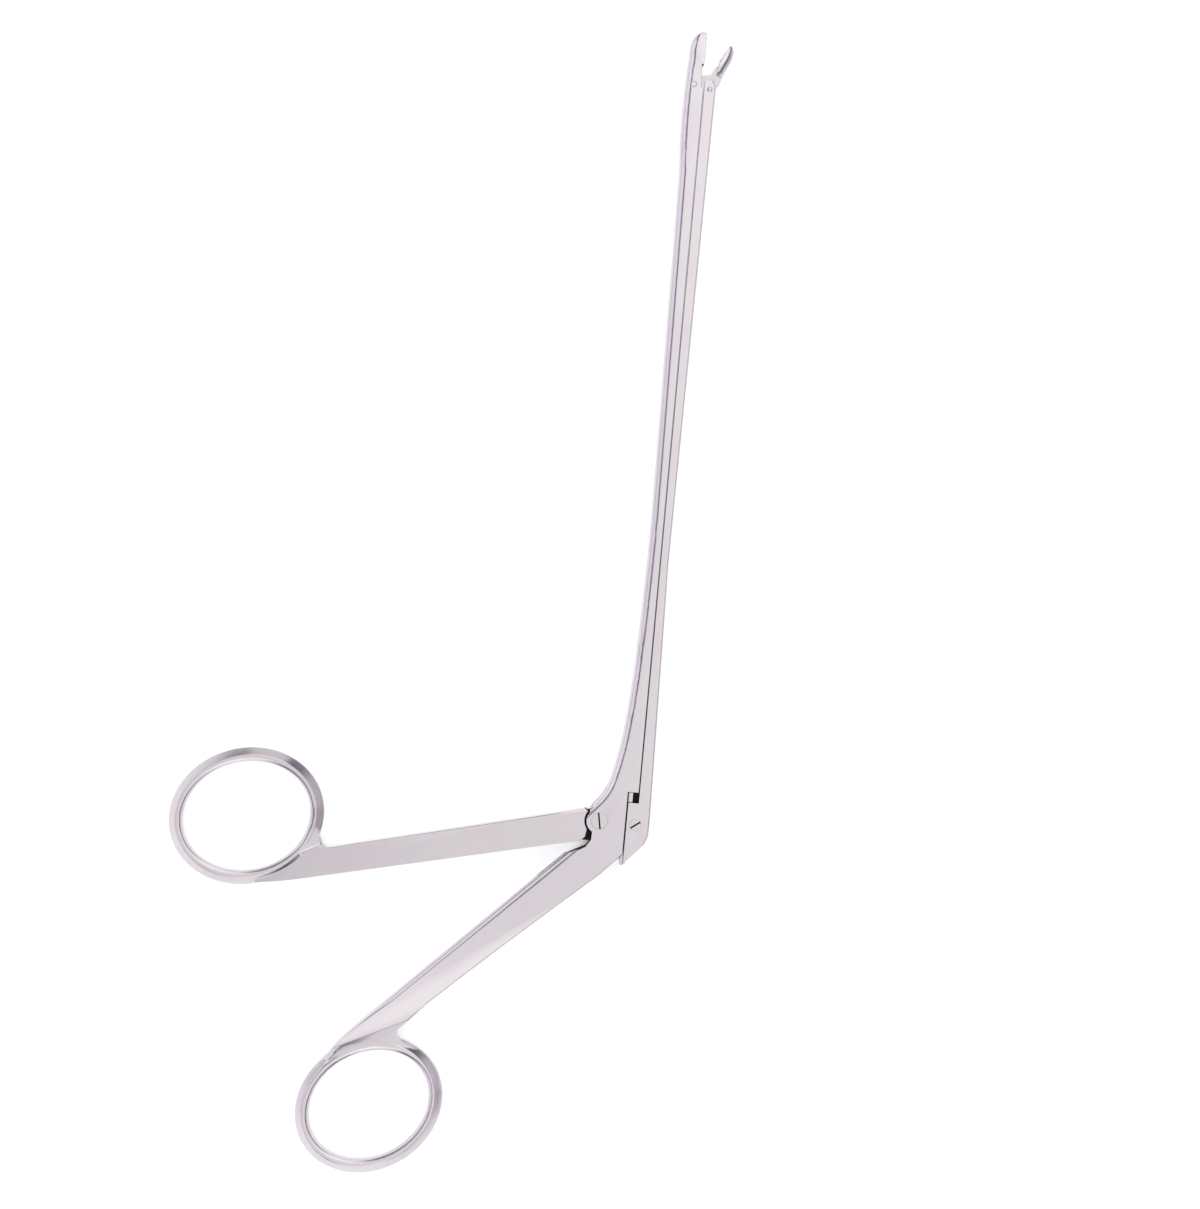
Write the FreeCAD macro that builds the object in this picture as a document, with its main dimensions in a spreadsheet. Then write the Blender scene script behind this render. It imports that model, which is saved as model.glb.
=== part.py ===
import FreeCAD, Part
import math
import os
import re
import Sketcher

# Pituitary rongeur lying on its side, jaws open and handles apart.
# X runs along the shaft to the tip, Y to the handles, Z up from the flat side of the body.
# The origin is on the handle pivot, at the bottom face of the body.
# Lengths in millimetres, angles in degrees.

SIZES = [
    # body and long shaft
    ("body_thickness", 6.5),
    ("tip_width", 4.0),
    ("cup_base_x", 174.6),
    ("cup_length", 6.9),
    ("taper_start_x", 8.0),
    ("floor_level", -6.0),
    ("seam_level", -8.4),
    ("step_x", 7.13),
    ("seat_x", 169.3),
    ("seat_level", -7.95),
    ("seat_heel_level", -7.6),
    ("rim_level", -8.1),
    # spine of the long shaft
    ("spine_cup_level", -4.33),
    ("spine_front_x", 150.0),
    ("spine_front_level", -4.55),
    ("spine_bulge_radius", 170.0),
    ("spine_waist_x", 70.0),
    ("spine_waist_level", -5.45),
    ("spine_swell_x", 40.0),
    ("spine_swell_level", -4.89),
    ("spine_swell_radius", 700.0),
    ("spine_rise_x", 20.0),
    ("spine_rise_level", -3.49),
    ("spine_rise_radius", 260.0),
    ("spine_turn_x", 10.0),
    ("spine_turn_level", -1.61),
    ("spine_turn_radius", 80.0),
    ("spine_top_x", 4.0),
    ("spine_top_level", 1.61),
    ("spine_top_radius", 13.0),
    ("spine_round", 1.8),
    # handle pivot and the corner of the body beside it
    ("horn_x", 2.95),
    ("horn_y", 2.2),
    ("horn_spare", 0.8),
    ("boss_radius", 3.05),
    ("boss_start_angle", 50.0),
    ("boss_end_angle", 150.0),
    ("shoulder_gap", 0.3),
    ("relief_rear_angle", 128.0),
    ("relief_front_angle", 53.0),
    ("heel_x", -3.86),
    ("heel_y", 2.89),
    ("heel_station", 4.95),
    ("notch_gap", 0.35),
    ("notch_length", 4.0),
    ("slot_cutter_x", -2.96),
    ("slot_cutter_y", 8.28),
    ("slot_cutter_radius", 11.66),
    ("slot_width", 2.4),
    ("slot_gap", 0.05),
    ("mortise_rear_x", -2.9),
    ("mortise_front_x", 3.5),
    ("lug_groove_level", -5.2),
    # palm handle, part of the body forging
    ("palm_root_x", -5.59),
    ("palm_root_y", -1.59),
    ("palm_lean", 136.05),
    ("palm_heel_x", -7.2),
    ("palm_inner_root", 4.6),
    ("palm_inner_end", 6.15),
    ("palm_inner_station", 8.0),
    ("palm_bend_station", 72.0),
    ("palm_thin_station", 14.0),
    ("palm_thin_end", 60.0),
    ("palm_outer_root", 4.25),
    ("palm_outer_station", 6.0),
    ("palm_outer_waist", 0.92),
    ("palm_waist_station", 54.0),
    ("palm_outer_bow", 1400.0),
    ("palm_outer_end", 1.05),
    ("palm_throat_station", 62.3),
    ("palm_throat_depth", 2.2),
    ("palm_throat_radius", 1.6),
    ("palm_join_radius", 40.0),
    ("palm_round", 1.6),
    ("palm_end_thickness", 4.9),
    ("palm_facet_station", 15.8),
    ("palm_facet_side", 3.55),
    ("palm_facet_turn", 20.4),
    ("palm_facet_tilt", 6.1),
    # palm finger ring
    ("palm_ring_x", -69.6),
    ("palm_ring_y", 46.7),
    ("palm_ring_long", 14.52),
    ("palm_ring_short", 11.8),
    ("palm_ring_tilt", -54.0),
    ("palm_join_angle", 102.0),
    ("palm_leave_angle", 22.0),
    ("palm_leave_share", 0.85),
    # moving finger lever
    ("lever_root_x", -0.24),
    ("lever_root_y", 0.0),
    ("lever_lean", 103.52),
    ("lever_half_root", 3.56),
    ("lever_half_end", 3.06),
    ("lever_front_station", 2.7),
    ("lever_end_station", 63.5),
    ("lever_bend_station", 68.5),
    ("lever_throat_depth", 1.9),
    ("lever_throat_radius", 1.8),
    ("lever_join_radius", 90.0),
    ("lever_round", 0.5),
    ("lever_end_thickness", 4.9),
    ("lever_thin_station", 10.0),
    ("lever_thin_end", 58.0),
    ("lever_facet_station", 18.0),
    ("lever_facet_side", 3.5),
    ("lever_facet_turn", 15.7),
    ("lever_facet_tilt", 5.9),
    # moving finger ring
    ("lever_ring_x", -6.3),
    ("lever_ring_y", 80.6),
    ("lever_ring_long", 14.86),
    ("lever_ring_short", 12.42),
    ("lever_ring_tilt", -70.0),
    ("lever_join_angle", 264.0),
    ("lever_leave_angle", 333.0),
    ("lever_leave_share", 0.6),
    # section shared by the rings, and how the arms run into them
    ("ring_band", 3.1),
    ("ring_thickness", 5.2),
    ("ring_hole_bevel", 0.9),
    ("ring_hole_break", 0.27),
    ("ring_ridge", 0.6),
    ("ring_bevel_drop", 1.6),
    ("ring_join_share", 0.93),
    ("ring_root_share", 0.25),
    ("throat_rise", 2.0),
    ("thin_overrun", 12.0),
    # tongue of the lever and its drive end
    ("drive_arm", 8.28),
    ("drive_offset", 0.2),
    ("drive_end_radius", 1.95),
    ("drive_slot_play", 0.02),
    ("tongue_front_x", 2.7),
    ("tongue_rear_x", -4.7),
    ("tongue_neck_level", -3.5),
    ("tongue_front_y", 0.5),
    ("tongue_rear_y", 1.0),
    ("tongue_root_x", 2.0),
    ("tongue_root_y", 5.2),
    # sliding shaft
    ("slide_gap", 0.22),
    ("slide_shoulder_x", 4.8),
    ("slide_front_x", 171.0),
    ("slide_rear_x", -9.29),
    ("slide_heel_x", -4.36),
    ("slide_heel_level", -10.77),
    ("slide_toe_x", -2.5),
    ("slide_toe_level", -11.45),
    ("slide_block_x", 1.06),
    ("slide_block_level", -11.54),
    ("slide_waist_x", 60.0),
    ("slide_waist_level", -10.42),
    ("slide_nose_x", 166.0),
    ("slide_nose_level", -11.24),
    ("slide_tip_cut", 1.7),
    ("slide_tip_level", -10.6),
    ("slide_round", 0.4),
    ("edge_break", 0.04),
    ("fork_rear_x", -2.8),
    ("fork_front_x", 2.3),
    ("fork_floor_level", -10.5),
    ("lug_front_x", -6.2),
    ("lug_rear_x", -9.75),
    ("lug_level", -5.4),
    ("lug_round", 0.4),
    # rails and their slots
    ("rail_neck_width", 1.5),
    ("rail_flange_width", 2.8),
    ("rail_top_level", -6.15),
    ("rail_under_level", -7.2),
    ("rail_gap", 0.06),
    ("rear_rail_length", 22.0),
    ("rear_slot_end_x", 32.0),
    ("front_rail_x", 141.0),
    ("front_rail_length", 20.0),
    ("front_slot_x", 139.0),
    ("front_slot_end_x", 164.5),
    ("entry_length", 24.0),
    # jaw joint
    ("jaw_pivot_x", 169.84),
    ("jaw_pivot_y", -6.1),
    ("jaw_swing", 28.0),
    ("link_forward", 0.96),
    ("link_down", 3.78),
    ("tang_width", 1.3),
    ("tang_slot_width", 1.42),
    ("tang_pivot_boss", 1.35),
    ("tang_link_boss", 1.3),
    ("tang_brow_angle", 50.0),
    ("tang_rear_angle", 190.0),
    ("tang_foot_angle", 250.0),
    ("tang_slot_rear_x", 167.8),
    ("tang_slot_front_x", 174.1),
    ("tang_slot_level", -4.65),
    ("clevis_rear_x", 166.8),
    ("tang_brow_x", 172.9),
    ("tang_brow_level", -6.87),
    ("tang_chin_x", 173.8),
    ("tang_tail_x", 171.8),
    ("tang_tail_level", -10.95),
    ("tang_back_x", 173.1),
    ("tang_back_level", -11.0),
    ("tang_root_x", 177.2),
    ("jaw_gap", 0.1),
    ("root_depth", 0.5),
    ("jaw_depth", 2.35),
    ("jaw_heel_depth", 0.95),
    # cups
    ("cup_round_share", 0.9),
    ("cavity_wall", 0.5),
    ("cavity_depth", 1.75),
    ("cavity_heel", 1.2),
    # pins and screws
    ("jaw_pin_radius", 0.6),
    ("link_pin_radius", 0.5),
    ("pin_fit", 0.02),
    ("running_fit", 0.04),
    ("link_slot_play", 0.03),
    ("pin_inset", 0.02),
    ("pivot_head_radius", 1.9),
    ("pivot_head_height", 1.5),
    ("pivot_shank_radius", 1.45),
    ("pivot_floor", 0.6),
    ("pivot_slot_length", 3.5),
    ("pivot_slot_turn", 10.0),
    ("drive_head_radius", 1.35),
    ("drive_head_height", 1.2),
    ("drive_shank_radius", 0.9),
    ("drive_slot_length", 2.64),
    ("drive_slot_turn", -54.0),
    ("screw_slot_width", 0.38),
    ("screw_slot_depth", 0.55),
]

NAMES = [name for name, value in SIZES]

doc = FreeCAD.newDocument("pituitary_rongeur")
sheet = doc.addObject("Spreadsheet::Sheet", "Sizes")
for row, (name, value) in enumerate(SIZES, start=1):
    sheet.set("A%d" % row, name)
    sheet.set("B%d" % row, str(value))
    sheet.setAlias("B%d" % row, name)
doc.recompute()


def named(word):
    return "Sizes." + word if word in NAMES else word


def bound(text):
    """Turn a formula in plain size names into one that reads the sheet."""
    return re.sub(r"[a-z][a-z0-9_]*", lambda word: named(word.group()), text)


def number(text):
    """Value of a formula, as a plain number."""
    found = sheet.evalExpression(bound(text))
    return float(getattr(found, "Value", found))


# Formulas used in several places

MID = "(body_thickness / 2)"
CUT_REACH = "(3 * body_thickness)"
SPARE = "1"  # how far a cutter's outline runs past the metal
SLIDE_TOP = "(seam_level - slide_gap)"
BLOCK_TOP = "(floor_level - slide_gap)"
JAW_RIM = "(rim_level - jaw_gap)"
TRAVEL = "(2 * sqrt(link_forward^2 + link_down^2) * sin(jaw_swing / 2))"
SWING = "(atan((%s - drive_offset) / drive_arm) + atan(drive_offset / drive_arm))" % TRAVEL
WIDTH_LOSS = "((body_thickness - tip_width) / 2 / (cup_base_x - taper_start_x))"


def half_width_at(x):
    """Half width of the shaft at a distance x along it."""
    return "(body_thickness / 2 - %s * (%s - taper_start_x))" % (WIDTH_LOSS, x)


def on_arm(arm, station, side):
    """Point beside an arm's centre line, side positive towards the palm's outer edge."""
    x = "%s_root_x + (%s) * cos(%s_lean) - (%s) * sin(%s_lean)" % (arm, station, arm, side, arm)
    y = "%s_root_y + (%s) * sin(%s_lean) + (%s) * cos(%s_lean)" % (arm, station, arm, side, arm)
    return x, y


def on_ring(ring, angle, share):
    """Point in a ring's band, share 0 at the hole and 1 at the outside."""
    along = "(%s_ring_long + %s * ring_band) * cos(%s)" % (ring, share, angle)
    across = "(%s_ring_short + %s * ring_band) * sin(%s)" % (ring, share, angle)
    x = "%s_ring_x + %s * cos(%s_ring_tilt) - %s * sin(%s_ring_tilt)" % (ring, along, ring, across, ring)
    y = "%s_ring_y + %s * sin(%s_ring_tilt) + %s * cos(%s_ring_tilt)" % (ring, along, ring, across, ring)
    return x, y


def inside_band(ring, share):
    """Point in the middle of a ring's band, a share of the way between its two joins with the arm."""
    turn = "(%s_leave_angle - %s_join_angle)" % (ring, ring)
    return on_ring(ring, "(%s_join_angle + %s * %s)" % (ring, share, turn), 0.5)


def swung(x, y):
    """Where a point of the lever is when the handles are closed."""
    turned_x = "((%s) * cos(%s) - (%s) * sin(%s))" % (x, SWING, y, SWING)
    turned_y = "((%s) * sin(%s) + (%s) * cos(%s))" % (x, SWING, y, SWING)
    return turned_x, turned_y


def new_body(name):
    body = doc.addObject("PartDesign::Body", name)
    body.Label = name
    return body


def new_sketch(body, role, name, offset="0"):
    """Sketch on an origin plane of the body, moved along the plane's normal."""
    sketch = body.newObject("Sketcher::SketchObject", name)
    plane = [feature for feature in body.Origin.OriginFeatures if feature.Role == role][0]
    sketch.AttachmentSupport = (plane, [""])
    sketch.MapMode = "FlatFace"
    sketch.setExpression("AttachmentOffset.Base.z", bound(offset))
    return sketch


def bind(sketch, kind, *parts):
    """Add a constraint whose last part is a formula."""
    value = number(parts[-1])
    if kind == "Angle":
        value = math.radians(value)
    index = sketch.addConstraint(Sketcher.Constraint(kind, *parts[:-1], value))
    sketch.setExpression("Constraints[%d]" % index, bound(parts[-1]))


def arc_centre(start, end, radius, turn):
    """Centre of the shorter arc between two points."""
    chord = end - start
    rise = math.sqrt(radius ** 2 - (chord.Length / 2) ** 2)
    left = FreeCAD.Vector(-chord.y, chord.x, 0).normalize()
    return (start + end) / 2 + left * (rise if turn == "ccw" else -rise)


def draw_loop(sketch, corners):
    """Closed loop of lines and arcs; a corner is x, y and, for an arc ending there, radius and turn."""
    places = [FreeCAD.Vector(number(corner[0]), number(corner[1]), 0) for corner in corners]
    drawn = []
    for i, corner in enumerate(corners):
        start = places[i - 1]
        end = places[i]
        if len(corner) == 2:
            drawn.append((sketch.addGeometry(Part.LineSegment(start, end)), 1, 2))
            continue
        radius = number(corner[2])
        centre = arc_centre(start, end, radius, corner[3])
        first, last = (start, end) if corner[3] == "ccw" else (end, start)
        angle_a = math.atan2(first.y - centre.y, first.x - centre.x)
        angle_b = math.atan2(last.y - centre.y, last.x - centre.x)
        circle = Part.Circle(centre, FreeCAD.Vector(0, 0, 1), radius)
        index = sketch.addGeometry(Part.ArcOfCircle(circle, angle_a, angle_b))
        drawn.append((index, 1, 2) if corner[3] == "ccw" else (index, 2, 1))
    for i, corner in enumerate(corners):
        index, head, tail = drawn[i]
        following = drawn[(i + 1) % len(corners)]
        sketch.addConstraint(Sketcher.Constraint("Coincident", index, tail, following[0], following[1]))
        bind(sketch, "DistanceX", -1, 1, index, tail, corner[0])
        bind(sketch, "DistanceY", -1, 1, index, tail, corner[1])
        if len(corner) > 2:
            bind(sketch, "Radius", index, corner[2])


def draw_box(sketch, left, bottom, right, top):
    draw_loop(sketch, [(left, bottom), (right, bottom), (right, top), (left, top)])


def draw_circle(sketch, x, y, radius):
    centre = FreeCAD.Vector(number(x), number(y), 0)
    index = sketch.addGeometry(Part.Circle(centre, FreeCAD.Vector(0, 0, 1), number(radius)))
    bind(sketch, "DistanceX", -1, 1, index, 3, x)
    bind(sketch, "DistanceY", -1, 1, index, 3, y)
    bind(sketch, "Radius", index, radius)


def draw_slot(sketch, x, y, angle, near, far, radius):
    """Round-ended slot along a ray from a point, between two distances on it."""
    def place(along, across):
        px = "%s + (%s) * cos(%s) - (%s) * sin(%s)" % (x, along, angle, across, angle)
        py = "%s + (%s) * sin(%s) + (%s) * cos(%s)" % (y, along, angle, across, angle)
        return px, py
    draw_loop(sketch, [
        place(near, "-" + radius) + (radius, "ccw"),
        place(far, "-" + radius),
        place(far + " + " + radius, "0") + (radius, "ccw"),
        place(far, radius) + (radius, "ccw"),
        place(near, radius),
        place(near + " - " + radius, "0") + (radius, "ccw"),
    ])


def draw_ellipse(sketch, x, y, long, short, tilt):
    centre = FreeCAD.Vector(number(x), number(y), 0)
    turn = FreeCAD.Rotation(FreeCAD.Vector(0, 0, 1), number(tilt))
    far = centre + turn.multVec(FreeCAD.Vector(number(long), 0, 0))
    near = centre + turn.multVec(FreeCAD.Vector(0, number(short), 0))
    index = sketch.addGeometry(Part.Ellipse(far, near, centre))
    sketch.exposeInternalGeometry(index)
    bind(sketch, "DistanceX", -1, 1, index, 3, x)
    bind(sketch, "DistanceY", -1, 1, index, 3, y)
    bind(sketch, "Distance", index + 1, "2 * (%s)" % long)
    bind(sketch, "Distance", index + 2, "2 * (%s)" % short)
    bind(sketch, "Angle", index + 1, tilt)


def pad(body, sketch, length, name, backwards=False):
    feature = body.newObject("PartDesign::Pad", name)
    feature.Profile = sketch
    feature.setExpression("Length", bound(length))
    feature.Reversed = backwards
    doc.recompute()
    return feature


def pocket(body, sketch, length, name, backwards=False):
    """Cut against the sketch's normal, or along it when backwards; it must remove something."""
    before = body.Tip.Shape.Volume
    feature = body.newObject("PartDesign::Pocket", name)
    feature.Profile = sketch
    feature.setExpression("Length", bound(length))
    feature.Reversed = backwards
    doc.recompute()
    if feature.Shape.Volume > before - 0.001:
        raise ValueError(name + " cuts nothing")
    return feature


def edges_where(feature, test):
    """Names of the edges whose middle point passes the test."""
    names = []
    for i, edge in enumerate(feature.Shape.Edges, start=1):
        middle = edge.valueAt((edge.FirstParameter + edge.LastParameter) / 2)
        if test(middle, edge):
            names.append("Edge%d" % i)
    return names


def round_edges(body, test, radius, name):
    base = body.Tip
    names = edges_where(base, test)
    if not names:
        raise ValueError(name + " finds no edge")
    feature = body.newObject("PartDesign::Fillet", name)
    feature.Base = (base, names)
    feature.setExpression("Radius", bound(radius))
    doc.recompute()
    return feature


# Shapes that several pieces share


def taper_shaft(body, far_x):
    """Plane cuts that narrow the shaft from the body to the cup."""
    sketch = new_sketch(body, "XZ_Plane", body.Name + "_taper_sketch", CUT_REACH)
    drop = "%s * (%s - taper_start_x)" % (WIDTH_LOSS, far_x)
    draw_loop(sketch, [
        ("taper_start_x", "body_thickness"),
        (far_x, "body_thickness - " + drop),
        (far_x, "body_thickness + " + SPARE),
        ("taper_start_x", "body_thickness + " + SPARE),
    ])
    draw_loop(sketch, [
        ("taper_start_x", "0"),
        ("taper_start_x", "-" + SPARE),
        (far_x, "-" + SPARE),
        (far_x, drop),
    ])
    return pocket(body, sketch, "2 * " + CUT_REACH, body.Name + "_taper")


def finger_ring(body, ring):
    """Forged ring: an oval path swept with a section that is bevelled at the hole and outside."""
    path = new_sketch(body, "XY_Plane", ring + "_ring_path", MID)
    draw_ellipse(path, ring + "_ring_x", ring + "_ring_y", ring + "_ring_long", ring + "_ring_short",
                 ring + "_ring_tilt")
    section = new_sketch(body, "XZ_Plane", ring + "_ring_section")
    section.setExpression("AttachmentOffset.Base.x", bound(ring + "_ring_x"))
    section.setExpression("AttachmentOffset.Base.z", bound("-" + ring + "_ring_y"))
    tilt = number(ring + "_ring_tilt")
    section.AttachmentOffset.Rotation = FreeCAD.Rotation(FreeCAD.Vector(0, 1, 0), tilt)
    section.setExpression("AttachmentOffset.Rotation.Angle", bound(ring + "_ring_tilt"))
    hole = ring + "_ring_long"
    top = MID + " + ring_thickness / 2"
    low = MID + " - ring_thickness / 2"
    ridge = hole + " + ring_hole_bevel"
    bevel = ridge + " + ring_ridge"
    outside = hole + " + ring_band"
    draw_loop(section, [
        (hole, low + " + ring_hole_bevel"),
        (hole + " + ring_hole_break", low + " + ring_hole_break"),
        (ridge, low),
        (bevel, low),
        (outside, low + " + ring_bevel_drop"),
        (outside, top + " - ring_bevel_drop"),
        (bevel, top),
        (ridge, top),
        (hole + " + ring_hole_break", top + " - ring_hole_break"),
        (hole, top + " - ring_hole_bevel"),
    ])
    feature = body.newObject("PartDesign::AdditivePipe", ring + "_ring")
    feature.Profile = section
    feature.Spine = path
    doc.recompute()
    return feature


def thin_arm(body, arm):
    """Plane cuts that thin an arm from the body to its ring, seen along the arm."""
    start = arm + "_thin_station"
    end = arm + "_thin_end"
    far = arm + "_bend_station + thin_overrun"
    sketch = new_sketch(body, "XZ_Plane", arm + "_thin_sketch")
    sketch.AttachmentOffset.Rotation = FreeCAD.Rotation(FreeCAD.Vector(0, 1, 0), number(arm + "_lean"))
    sketch.setExpression("AttachmentOffset.Rotation.Angle", bound(arm + "_lean"))
    away_x = "%s_root_x + %s * sin(%s_lean)" % (arm, CUT_REACH, arm)
    away_y = "%s * cos(%s_lean) - %s_root_y" % (CUT_REACH, arm, arm)
    sketch.setExpression("AttachmentOffset.Base.x", bound(away_x))
    sketch.setExpression("AttachmentOffset.Base.z", bound(away_y))
    drop = "(body_thickness - %s_end_thickness) / 2" % arm
    draw_loop(sketch, [
        (start, "body_thickness"),
        (end, "body_thickness - " + drop),
        (far, "body_thickness - " + drop),
        (far, "body_thickness + " + SPARE),
        (start, "body_thickness + " + SPARE),
    ])
    draw_loop(sketch, [
        (start, "0"),
        (start, "-" + SPARE),
        (far, "-" + SPARE),
        (far, drop),
        (end, drop),
    ])
    return pocket(body, sketch, "2 * " + CUT_REACH, arm + "_thin")


def arm_facet(body, arm, side):
    """Shallow flats ground on both faces of an arm: each starts at one edge and widens towards the ring."""
    sketch = new_sketch(body, "XZ_Plane", arm + "_facet_sketch")
    heading = "(%s_lean - %d * %s_facet_turn + 90)" % (arm, side, arm)
    sketch.AttachmentOffset.Rotation = FreeCAD.Rotation(FreeCAD.Vector(0, 1, 0), number(heading))
    sketch.setExpression("AttachmentOffset.Rotation.Angle", bound(heading))
    start_x, start_y = on_arm(arm, arm + "_facet_station", "%d * %s_facet_side" % (side, arm))
    sketch.setExpression("AttachmentOffset.Base.x", bound(start_x))
    sketch.setExpression("AttachmentOffset.Base.z", bound("-(%s)" % start_y))
    drop = "(body_thickness - %s_end_thickness) / 2" % arm
    share = "(%s_facet_station - %s_thin_station) / (%s_thin_end - %s_thin_station)" % (arm, arm, arm, arm)
    low = "(%s * %s)" % (drop, share)
    high = "(body_thickness - %s)" % low
    far = "(2 * body_thickness)"
    fall = "%s * tan(%s_facet_tilt)" % (far, arm)
    draw_loop(sketch, [
        ("0", high),
        ("%d * %s" % (side, far), "%s - %s" % (high, fall)),
        ("%d * %s" % (side, far), "body_thickness + " + SPARE),
        ("0", "body_thickness + " + SPARE),
    ])
    draw_loop(sketch, [
        ("0", low),
        ("0", "-" + SPARE),
        ("%d * %s" % (side, far), "-" + SPARE),
        ("%d * %s" % (side, far), "%s + %s" % (low, fall)),
    ])
    return pocket(body, sketch, arm + "_bend_station", arm + "_facet", backwards=True)


CUP_STATIONS = ["0", "0.4", "0.7", "0.88", "0.97"]  # shares of the cup's length, closer at the tip


def cup(body, name, rim, depth, side):
    """Cup of a jaw: a loft of U sections that narrow to the tip."""
    sections = []
    for i, share in enumerate(CUP_STATIONS):
        station = "cup_base_x + %s * cup_length" % share
        sketch = new_sketch(body, "YZ_Plane", "%s_section_%d" % (name, i), station)
        half = "(tip_width / 2 * sqrt(1 - %s^3))" % share
        back = "(%s + %d * %s * sqrt(1 - %s^4))" % (rim, side, depth, share)
        corner = "(cup_round_share * %s)" % half
        inner = "%s - %d * %s" % (back, side, corner)
        turn = "ccw" if side < 0 else "cw"
        draw_loop(sketch, [
            (rim, MID + " + " + half),
            (inner, MID + " + " + half),
            (back, MID + " + " + half + " - " + corner, corner, turn),
            (back, MID + " - " + half + " + " + corner),
            (inner, MID + " - " + half, corner, turn),
            (rim, MID + " - " + half),
        ])
        sections.append(sketch)
    feature = body.newObject("PartDesign::AdditiveLoft", name)
    feature.Profile = sections[0]
    feature.Sections = sections[1:]
    doc.recompute()
    return feature


def hollow(body, name, rim):
    """Oval hollow of a cup, sunk from the rim."""
    before = body.Tip.Shape.Volume
    feature = body.newObject("PartDesign::SubtractiveEllipsoid", name)
    feature.setExpression("Radius2", bound("(cup_length - cavity_heel - cavity_wall) / 2"))
    feature.setExpression("Radius3", bound("cavity_depth"))
    feature.setExpression("Radius1", bound("tip_width / 2 - cavity_wall"))
    middle = "cup_base_x + (cup_length + cavity_heel - cavity_wall) / 2"
    feature.setExpression("Placement.Base.x", bound(middle))
    feature.setExpression("Placement.Base.y", bound(rim))
    feature.setExpression("Placement.Base.z", bound(MID))
    doc.recompute()
    if feature.Shape.Volume > before - 0.001:
        raise ValueError(name + " cuts nothing")
    return feature


def rail_section(body, name, at_x, gap, foot):
    """T section of a rail, or of its slot when it is given a gap."""
    sketch = new_sketch(body, "YZ_Plane", name, at_x)
    neck = "(rail_neck_width / 2 + %s)" % gap
    flange = "(rail_flange_width / 2 + %s)" % gap
    under = "rail_under_level - " + gap
    top = "rail_top_level + " + gap
    draw_loop(sketch, [
        (foot, MID + " - " + neck),
        (under, MID + " - " + neck),
        (under, MID + " - " + flange),
        (top, MID + " - " + flange),
        (top, MID + " + " + flange),
        (under, MID + " + " + flange),
        (under, MID + " + " + neck),
        (foot, MID + " + " + neck),
    ])
    return sketch


# Fixed shaft: body, palm handle with ring, long shaft and fixed cup in one forging


boss_start = ("boss_radius * cos(boss_start_angle)", "boss_radius * sin(boss_start_angle)")


def fixed_outline():
    heel_side = on_arm("lever", "heel_station", "lever_half_root")
    notch_a = swung("heel_x", "heel_y")
    notch_b = swung(*heel_side)
    notch_c = swung(*on_arm("lever", "heel_station + notch_length", "lever_half_root"))
    return [
        ("cup_base_x", "spine_cup_level"),
        ("spine_front_x", "spine_front_level", "spine_bulge_radius", "ccw"),
        ("spine_waist_x", "spine_waist_level"),
        ("spine_swell_x", "spine_swell_level", "spine_swell_radius", "cw"),
        ("spine_rise_x", "spine_rise_level", "spine_rise_radius", "cw"),
        ("spine_turn_x", "spine_turn_level", "spine_turn_radius", "cw"),
        ("spine_top_x", "spine_top_level", "spine_top_radius", "cw"),
        ("horn_x - horn_spare / 2", "horn_y + horn_spare"),
        boss_start,
        ("boss_radius * cos(boss_end_angle)", "boss_radius * sin(boss_end_angle)", "boss_radius", "ccw"),
        (notch_a[0], notch_a[1] + " - notch_gap"),
        (notch_b[0] + " - notch_gap", notch_b[1] + " - notch_gap / 2"),
        (notch_c[0] + " - notch_gap", notch_c[1] + " - notch_gap / 2"),
        on_arm("palm", "palm_inner_station", "-palm_inner_root"),
        on_arm("palm", "palm_bend_station", "-palm_inner_end"),
        on_ring("palm", "palm_join_angle", "ring_join_share") + ("palm_join_radius", "ccw"),
        on_ring("palm", "palm_join_angle + 1", "ring_root_share"),
        inside_band("palm", 0.25),
        inside_band("palm", 0.5),
        inside_band("palm", 0.75),
        on_ring("palm", "palm_leave_angle", "palm_leave_share"),
        on_arm("palm", "palm_throat_station + throat_rise", "palm_outer_end + palm_throat_depth"),
        on_arm("palm", "palm_throat_station", "palm_outer_end") + ("palm_throat_radius", "cw"),
        on_arm("palm", "palm_waist_station", "palm_outer_waist"),
        on_arm("palm", "palm_outer_station", "palm_outer_root") + ("palm_outer_bow", "cw"),
        ("palm_heel_x", "floor_level"),
        ("step_x", "floor_level"),
        ("step_x", "seam_level"),
        ("seat_x", "seam_level"),
        ("seat_x", "seat_level"),
        ("cup_base_x", "seat_heel_level"),
    ]


fixed = new_body("fixed_shaft")
fixed_sketch = new_sketch(fixed, "XY_Plane", "fixed_outline")
draw_loop(fixed_sketch, fixed_outline())
pad(fixed, fixed_sketch, "body_thickness", "fixed_blank")
taper_shaft(fixed, "cup_base_x + 1")
thin_arm(fixed, "palm")


def level_edge(edge):
    """An edge that runs along the piece, not across it or up through its thickness."""
    return edge.BoundBox.ZLength < edge.BoundBox.XLength


def is_spine(middle, edge):
    beside = number("horn_x") < middle.x < number("cup_base_x")
    return beside and middle.y > number("(floor_level + spine_waist_level) / 2") and level_edge(edge)


def on_finger_side(arm, start, end, half):
    """Test for the level edges along an arm's finger side, between two distances from its root."""
    def test(middle, edge):
        lean = math.radians(number(arm + "_lean"))
        away_x = middle.x - number(arm + "_root_x")
        away_y = middle.y - number(arm + "_root_y")
        station = away_x * math.cos(lean) + away_y * math.sin(lean)
        side = away_y * math.cos(lean) - away_x * math.sin(lean)
        return number(start) < station < number(end) and side < -number(half) and level_edge(edge)
    return test


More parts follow.
